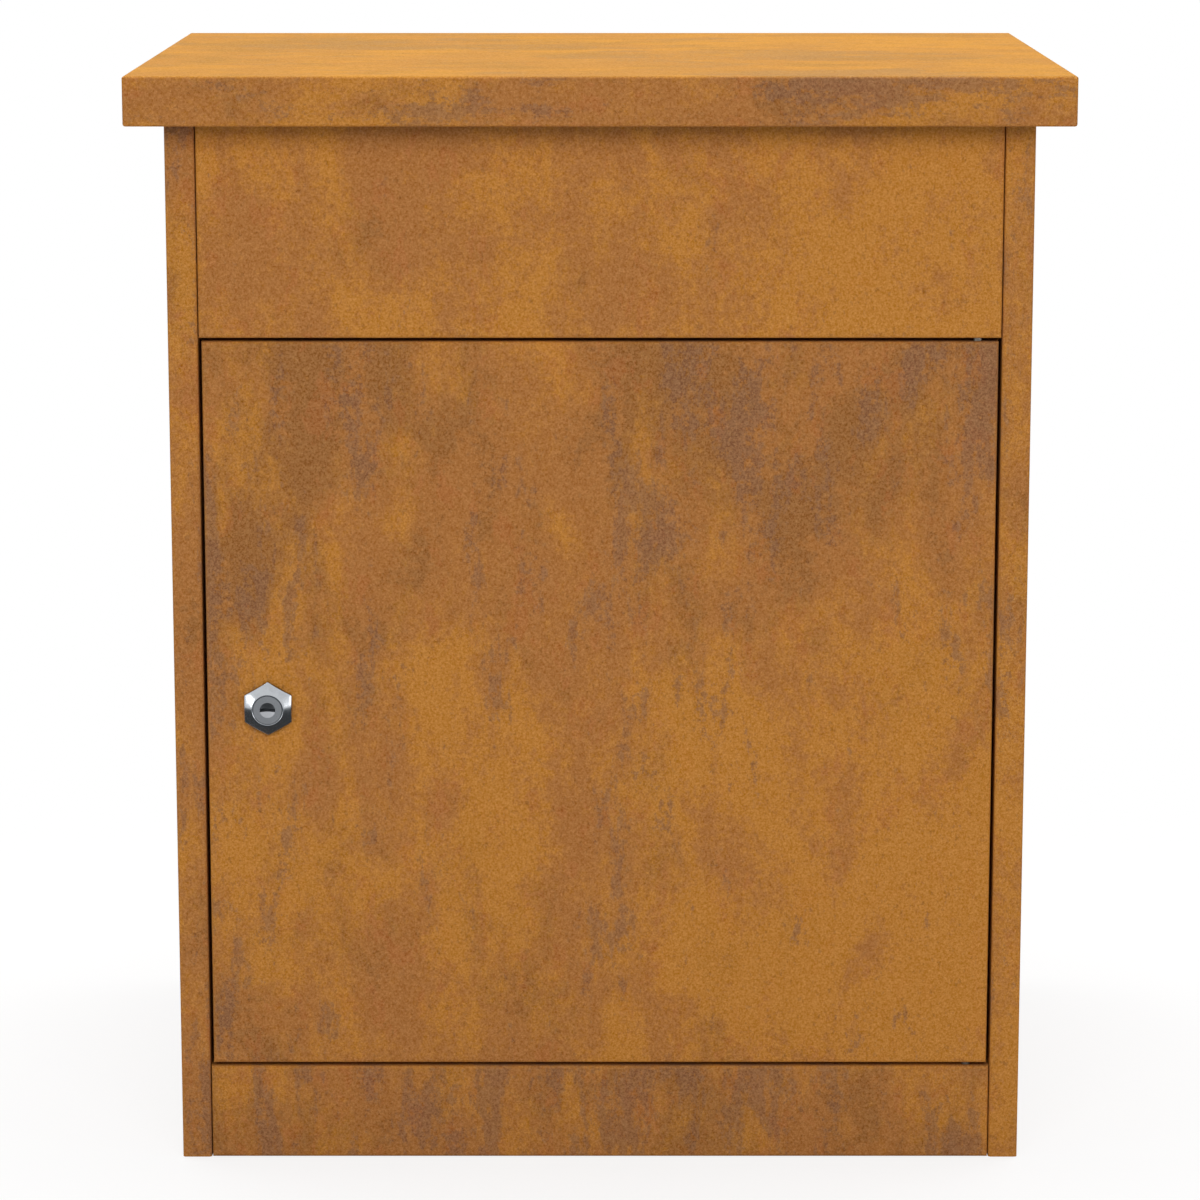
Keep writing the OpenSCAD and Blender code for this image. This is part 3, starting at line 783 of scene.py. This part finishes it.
def add_painted_shade(material, face, height):
    """Painted shade, near black, on the side faces of a part that stands out by height from a
    face along Y.
    """
    tree = material.node_tree
    shader = tree.nodes["Principled BSDF"]
    given = tree.nodes.new("ShaderNodeTexCoord").outputs
    along = add_node(tree, "ShaderNodeSeparateXYZ", {0: given["Object"]}).outputs["Y"]
    facing = add_node(tree, "ShaderNodeSeparateXYZ", {0: given["Normal"]}).outputs["Y"]
    sideways = ramp(tree, maths(tree, "ABSOLUTE", facing), *PAINTED_SHADE_FACING)
    near = ramp(tree, along, face - height - PAINTED_SHADE_FADE, face - height)
    outside = ramp(tree, along, face + 2 * PAINTED_SHADE_STOP, face + PAINTED_SHADE_STOP)
    share = maths(tree, "MULTIPLY", maths(tree, "MULTIPLY", near, outside), sideways)
    # The base colour is darkened there as painted shade
    unshaded = shader.inputs["Base Color"].links[0].from_socket
    shaded = blend_colours(tree, scaled(tree, share, PAINTED_SHADE_SHARE), unshaded, PAINTED_SHADE_TONE)
    tree.links.new(shaded, shader.inputs["Base Color"])


def dress(node_name, material):
    """Gives one CAD node its material."""
    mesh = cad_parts[node_name].data
    mesh.materials.clear()
    mesh.materials.append(material)


# --- Turned and threaded forms -------------------------------------------------------------


def hex_radius(angle, flat, fillet):
    """Distance from the middle of a hexagon to its edge. A corner points along angle 0."""
    sixth = math.pi / 3
    half = math.pi / 6
    off = abs((angle + half) % sixth - half)
    corner = (flat - fillet) / math.cos(half)
    arc_end = math.atan2(fillet * math.sin(half), corner + fillet * math.cos(half))
    if off < arc_end:
        return corner * math.cos(off) + math.sqrt(fillet**2 - (corner * math.sin(off)) ** 2)
    return flat / math.cos(half - off)


def angles_round(sides, bunched):
    """Angles round a turned form, with more of them near a hexagon's corners if bunched."""
    found = [2 * math.pi * k / sides for k in range(sides)]
    if bunched:
        for corner in range(6):
            middle = corner * math.pi / 3
            found += [middle + math.radians(step) for step in CORNER_STEPS]
    return sorted({round(a % (2 * math.pi), 6) for a in found})


def lathe(rings, closed_ends=(True, True)):
    """A bmesh through rings of points. Each ring is a list of (x, y, z) of the same length."""
    mesh = bmesh.new()
    made = [[mesh.verts.new(point) for point in ring] for ring in rings]
    count = len(rings[0])
    for lower, upper in zip(made, made[1:]):
        for k in range(count):
            after = (k + 1) % count
            mesh.faces.new((lower[k], lower[after], upper[after], upper[k]))
    if closed_ends[0]:
        mesh.faces.new(list(reversed(made[0])))
    if closed_ends[1]:
        mesh.faces.new(made[-1])
    return mesh


def as_object(name, mesh, sharp_degrees=35):
    """A new object from a bmesh, smooth except at sharp edges."""
    bmesh.ops.recalc_face_normals(mesh, faces=mesh.faces)
    data = bpy.data.meshes.new(name)
    mesh.to_mesh(data)
    mesh.free()
    data.polygons.foreach_set("use_smooth", [True] * len(data.polygons))
    data.set_sharp_from_angle(angle=math.radians(sharp_degrees))
    made = bpy.data.objects.new(name, data)
    bpy.context.scene.collection.objects.link(made)
    return made


def thread_radius(angle, along, outer, depth, pitch):
    """Radius of a V thread at an angle and a distance along its axis."""
    turn = (along / pitch - angle / (2 * math.pi)) % 1.0
    tooth = 1.0 - abs(2.0 * turn - 1.0)
    return outer - depth * min(1.0, max(0.0, TOOTH_GAIN * tooth - TOOTH_OFFSET))


def thread_rings(start, end, outer, depth, pitch, angles, runout):
    """Rings of a threaded rod along +Z. The thread fades out over runout at either end."""
    steps = max(2, round((end - start) / pitch * STEPS_PER_TURN))
    rings = []
    for k in range(steps + 1):
        along = start + (end - start) * k / steps
        fade = min(1.0, (along - start) / runout, (end - along) / runout)
        ring = []
        for a in angles:
            r = thread_radius(a, along, outer, depth * fade, pitch)
            ring.append((r * math.cos(a), r * math.sin(a), along))
        rings.append(ring)
    return rings


def round_ring(radius, height, angles):
    """A flat circle of points."""
    return [(radius * math.cos(a), radius * math.sin(a), height) for a in angles]


def hexagon_rings(sizes, angles, flat, corner, cone_height):
    """Rings up the hexagon's sides, from its rounded back edge onto the cone's edge."""
    edge = sizes.edge

    def ring(inwards, height_of):
        points = []
        for a in angles:
            r = hex_radius(a, flat - inwards, sizes.corner_rounding)
            r = min(r, corner - inwards)
            points.append((r * math.cos(a), r * math.sin(a), height_of(r + inwards)))
        return points

    rings = [ring(edge * inwards, lambda r: edge * up) for inwards, up in BACK_EDGE]
    rings += [
        ring(edge * inwards, lambda r: cone_height(r) - edge * under)
        for inwards, under in FRONT_EDGE
    ]
    rings.append(ring(edge, lambda r: cone_height(r - edge) - CONE_DIP))
    return rings


def head_rings(sizes, low, high, front):
    """Rings of the lock's head: hexagon, cone, lip, mouth, bore and the barrel's thread."""
    nose = front - low.y
    barrel_back = high.y - front
    flat = (high.x - low.x) / 2
    corner = (high.z - low.z) / 2
    angles = angles_round(sizes.sides, True)

    def cone_height(radius):
        return nose - (radius - sizes.nose_radius) / sizes.cone_slope

    rings = [round_ring(sizes.barrel, 0.0, angles)]
    rings += hexagon_rings(sizes, angles, flat, corner, cone_height)
    cone_edge = [Vector(point) for point in rings[-1]]
    nose_edge = [Vector(point) for point in round_ring(sizes.nose_radius, nose, angles)]
    for share in CONE_SHARES:
        rings.append([outer.lerp(inner, share) for outer, inner in zip(cone_edge, nose_edge)])
    foot = sizes.nose_radius + LIP_FOOT
    rings.append(round_ring(foot, cone_height(foot), angles))
    rings += [
        round_ring(sizes.nose_radius + outwards * MM, nose - under * MM, angles)
        for outwards, under in LIP
    ]
    rings += [
        round_ring(sizes.lip_inner, nose - sizes.groove, angles),
        round_ring(sizes.lip_inner, nose - sizes.mouth, angles),
        round_ring(sizes.bore, nose - sizes.mouth, angles),
        round_ring(sizes.bore, -barrel_back, angles),
    ]
    rings += thread_rings(
        -barrel_back,
        -HEAD_GAP,
        sizes.barrel,
        sizes.thread_depth,
        sizes.thread_pitch,
        angles,
        BARREL_RUNOUT,
    )
    rings.append(rings[0])
    return rings


# --- Operators -----------------------------------------------------------------------------


class MAILBOX_OT_rust_sheets(bpy.types.Operator):
    """Gives each folded steel sheet its own rust patina"""

    bl_idname = "mailbox.rust_sheets"
    bl_label = "Rust sheets"

    def execute(self, context):
        for node_name, (offset, lean) in SHEETS.items():
            dress(node_name, rust_material(node_name, offset, lean))
        return {"FINISHED"}


class MAILBOX_OT_zinc_parts(bpy.types.Operator):
    """Zinc plate on the hinges, rivets, nuts, washers and the cam"""

    bl_idname = "mailbox.zinc_parts"
    bl_label = "Zinc parts"

    def execute(self, context):
        zinc = worn_material("zinc", context.scene.mailbox_metal.zinc)
        for node_name in ZINC_NODES:
            dress(node_name, zinc)
        return {"FINISHED"}


class MAILBOX_OT_pins(bpy.types.Operator):
    """Bare steel on the hinge pins of the lid and the door"""

    bl_idname = "mailbox.pins"
    bl_label = "Hinge pins"

    def execute(self, context):
        steel = worn_material("steel", context.scene.mailbox_metal.steel)
        for node_name in PIN_NODES:
            dress(node_name, steel)
        return {"FINISHED"}


class MAILBOX_OT_bumpers(bpy.types.Operator):
    """Black rubber on the bumpers of the lid and the door"""

    bl_idname = "mailbox.bumpers"
    bl_label = "Bumpers"

    def execute(self, context):
        rubber = worn_material("rubber", context.scene.mailbox_metal.rubber, 0.0)
        for node_name in BUMPER_NODES:
            dress(node_name, rubber)
        return {"FINISHED"}


class MAILBOX_OT_lock_head(bpy.types.Operator):
    """Builds the lock's hexagonal head with its turned cone and threaded barrel"""

    bl_idname = "mailbox.lock_head"
    bl_label = "Lock head"

    def execute(self, context):
        sizes = context.scene.mailbox_lock
        low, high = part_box("lock_housing")
        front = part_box("door")[0].y
        middle = (low + high) / 2
        body = lathe(head_rings(sizes, low, high, front), (False, False))
        bmesh.ops.remove_doubles(body, verts=body.verts, dist=WELD)
        turn = Matrix.Rotation(math.radians(90), 4, "X") @ Matrix.Rotation(
            math.radians(90), 4, "Z"
        )
        place = Matrix.Translation((middle.x, front, middle.z)) @ turn
        bmesh.ops.transform(body, matrix=place, verts=body.verts)
        head = as_object("threaded_lock_head", body, HEAD_SHARP)
        metal = context.scene.mailbox_metal
        chrome = worn_material("chrome", metal.chrome)
        # The chrome gets painted shade on the head's side faces next to the door
        add_painted_shade(chrome, front, PAINTED_SHADE_HEIGHT)
        head.data.materials.append(chrome)
        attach(head, "door_assembly")
        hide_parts("lock_housing")
        dress("lock_plug", worn_material("satin_plug", metal.plug))
        return {"FINISHED"}


class MAILBOX_OT_guard_studs(bpy.types.Operator):
    """Builds the four threaded studs that carry the retrieval guard"""

    bl_idname = "mailbox.guard_studs"
    bl_label = "Guard studs"

    def execute(self, context):
        sizes = context.scene.mailbox_lock
        low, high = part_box("guard_studs")
        radius = (high.y - low.y) / 2
        first = low.x + radius
        spacing = (high.x - low.x - 2 * radius) / (STUDS - 1)
        angles = angles_round(STUD_SIDES, False)
        studs = bmesh.new()
        for k in range(STUDS):
            rings = [round_ring(radius - STUD_CHAMFER, low.z, angles)]
            rings += thread_rings(
                low.z + STUD_CHAMFER,
                high.z - STUD_GAP,
                radius,
                sizes.stud_depth,
                sizes.stud_pitch,
                angles,
                STUD_RUNOUT,
            )
            rings.append(round_ring(radius, high.z, angles))
            stud = lathe(rings)
            shift = Matrix.Translation((first + k * spacing, (low.y + high.y) / 2, 0))
            bmesh.ops.transform(stud, matrix=shift, verts=stud.verts)
            part = bpy.data.meshes.new("stud")
            stud.to_mesh(part)
            stud.free()
            studs.from_mesh(part)
            bpy.data.meshes.remove(part)
        made = as_object("threaded_guard_studs", studs)
        zinc = bpy.data.materials["zinc"]
        made.data.materials.append(zinc)
        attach(made, "lid_assembly")
        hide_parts("guard_studs")
        return {"FINISHED"}


class MAILBOX_OT_stage(bpy.types.Operator):
    """Plain pale floor, soft studio light and the camera"""

    bl_idname = "mailbox.stage"
    bl_label = "Stage"

    def execute(self, context):
        settings = context.scene.mailbox_stage
        build_floor(settings.floor_size)
        build_painted_reflection()
        # Sheet of painted reflection for the chrome
        build_world(context.scene, settings.ambient)
        for name, (place, target, size, setting, glossy) in SOFT_BOXES.items():
            add_soft_box(name, place, target, size, getattr(settings, setting), glossy)
        add_camera(context.scene, settings)
        context.scene.view_settings.view_transform = "Standard"
        return {"FINISHED"}


def seen_directly(tree):
    """1 for camera, glossy and transmission rays, 0 for the light that falls on things."""
    rays = tree.nodes.new("ShaderNodeLightPath").outputs
    total = maths(tree, "MAXIMUM", rays["Is Camera Ray"], rays["Is Glossy Ray"])
    return maths(tree, "MAXIMUM", total, rays["Is Transmission Ray"])


def add_sheet(name, low, high, level):
    """A flat level rectangle between two corners, as part of the stage."""
    mesh = bmesh.new()
    corners = [(low[0], low[1]), (high[0], low[1]), (high[0], high[1]), (low[0], high[1])]
    mesh.faces.new([mesh.verts.new((x, y, 0)) for x, y in corners])
    data = bpy.data.meshes.new(name)
    mesh.to_mesh(data)
    mesh.free()
    made = bpy.data.objects.new(name, data)
    made.location.z = level
    bpy.context.scene.collection.objects.link(made)
    return made


def build_floor(size):
    """A pale floor that shows near white and keeps the mailbox's shadow."""
    half = size / 2
    floor = add_sheet("floor", (-half, -half), (half, half), FLOOR_LEVEL)
    made, tree, shader = new_material("pale_floor")
    camera_ray = tree.nodes.new("ShaderNodeLightPath").outputs["Is Camera Ray"]
    seen = blend_colours(tree, camera_ray, FLOOR_GREY, WHITE)
    tree.links.new(seen, shader.inputs["Base Color"])
    shader.inputs["Roughness"].default_value = FLOOR_ROUGHNESS
    shader.inputs["Specular IOR Level"].default_value = FLOOR_SPECULAR
    white = add_node(tree, "ShaderNodeEmission", {"Color": WHITE, "Strength": 1.0}).outputs[0]
    place = tree.nodes.new("ShaderNodeTexCoord").outputs["Object"]
    away = add_node(
        tree, "ShaderNodeVectorMath", {0: place}, operation="LENGTH"
    ).outputs["Value"]
    share = ramp(tree, away, *FLOOR_FADE)
    share = maths(tree, "MULTIPLY", share, seen_directly(tree))
    both = add_node(tree, "ShaderNodeMixShader", {0: share, 1: shader.outputs[0], 2: white})
    tree.links.new(both.outputs[0], tree.nodes["Material Output"].inputs["Surface"])
    floor.data.materials.append(made)


def build_painted_reflection():
    """A glowing sheet on the floor in front that only polished metal shows: a painted reflection,
    dim and blue-grey.
    """
    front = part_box("door")[0].y - CARD_GAP
    card = add_sheet("dark_card", (-CARD_HALF, CARD_END), (CARD_HALF, front), CARD_LEVEL)
    card.visible_camera = False
    card.visible_diffuse = False
    card.visible_shadow = False
    card.visible_transmission = False
    made, tree, shader = new_material("card")
    tree.nodes.remove(shader)
    place = tree.nodes.new("ShaderNodeTexCoord").outputs["Object"]
    forward = add_node(tree, "ShaderNodeSeparateXYZ", {0: place}).outputs["Y"]
    # Painted reflection: the glow is dimmest next to the door
    level = ramp(tree, forward, *PAINTED_REFLECTION_GLOW)
    glow = add_node(tree, "ShaderNodeEmission", {"Color": PAINTED_REFLECTION_TINT, "Strength": level})
    tree.links.new(glow.outputs[0], tree.nodes["Material Output"].inputs["Surface"])
    card.data.materials.append(made)


def build_world(scene, ambient):
    """An even ambient light with a white background."""
    world = bpy.data.worlds.new("studio")
    scene.world = world
    world.use_nodes = True
    tree = world.node_tree
    tree.nodes.clear()
    share = seen_directly(tree)
    strength = maths(tree, "MULTIPLY_ADD", share, 1.0 - ambient, ambient)
    sky = add_node(tree, "ShaderNodeBackground", {"Color": WHITE, "Strength": strength})
    end = tree.nodes.new("ShaderNodeOutputWorld")
    tree.links.new(sky.outputs[0], end.inputs["Surface"])


def add_camera(scene, settings):
    """A camera straight in front of the mailbox that looks a little down at it."""
    camera = bpy.data.cameras.new("camera")
    camera.lens = settings.lens
    camera.sensor_width = SENSOR
    holder = bpy.data.objects.new("camera", camera)
    holder.location = (0, CAD_BOX[0].y - settings.camera_gap, settings.camera_height)
    holder.rotation_euler = (math.pi / 2 - settings.camera_tilt, 0, 0)
    scene.collection.objects.link(holder)
    scene.camera = holder


def add_soft_box(name, place, target, size, watts, glossy):
    """A rectangular soft light aimed at a point. Metal reflects it only if glossy."""
    light = bpy.data.lights.new(name, "AREA")
    light.shape = "RECTANGLE"
    light.size, light.size_y = size
    light.energy = watts
    holder = bpy.data.objects.new(name, light)
    holder.location = place
    direction = Vector(target) - Vector(place)
    holder.rotation_mode = "QUATERNION"
    holder.rotation_quaternion = direction.to_track_quat("-Z", "Y")
    holder.visible_camera = False
    holder.visible_glossy = glossy
    bpy.context.scene.collection.objects.link(holder)


# --- Panel and registration ----------------------------------------------------------------

STEPS = (
    MAILBOX_OT_rust_sheets,
    MAILBOX_OT_zinc_parts,
    MAILBOX_OT_pins,
    MAILBOX_OT_bumpers,
    MAILBOX_OT_lock_head,
    MAILBOX_OT_guard_studs,
    MAILBOX_OT_stage,
)
GROUPS = {
    "mailbox_rust": RustSettings,
    "mailbox_metal": MetalSettings,
    "mailbox_lock": LockSettings,
    "mailbox_stage": StageSettings,
}


class MAILBOX_PT_panel(bpy.types.Panel):
    """Lists the steps that dress the mailbox, and their settings"""

    bl_idname = "MAILBOX_PT_panel"
    bl_label = "Mailbox"
    bl_space_type = "VIEW_3D"
    bl_region_type = "UI"
    bl_category = "Mailbox"

    def draw(self, context):
        for step in STEPS:
            self.layout.operator(step.bl_idname)
        for name, group in GROUPS.items():
            box = self.layout.box()
            for prop in group.__annotations__:
                box.prop(getattr(context.scene, name), prop)


def register():
    """Adds the settings, the operators and the panel."""
    for name, group in GROUPS.items():
        bpy.utils.register_class(group)
        setattr(bpy.types.Scene, name, PointerProperty(type=group))
    for each in (*STEPS, MAILBOX_PT_panel):
        bpy.utils.register_class(each)


def unregister():
    """Takes away what register added."""
    for each in reversed((*STEPS, MAILBOX_PT_panel)):
        bpy.utils.unregister_class(each)
    for name, group in GROUPS.items():
        delattr(bpy.types.Scene, name)
        bpy.utils.unregister_class(group)


def run_step(name):
    """Runs one operator by its name."""
    area, action = name.split(".")
    getattr(getattr(bpy.ops, area), action)()


def main():
    """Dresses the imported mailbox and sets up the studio."""
    register()
    for step in STEPS:
        run_step(step.bl_idname)


if __name__ == "__main__":
    main()
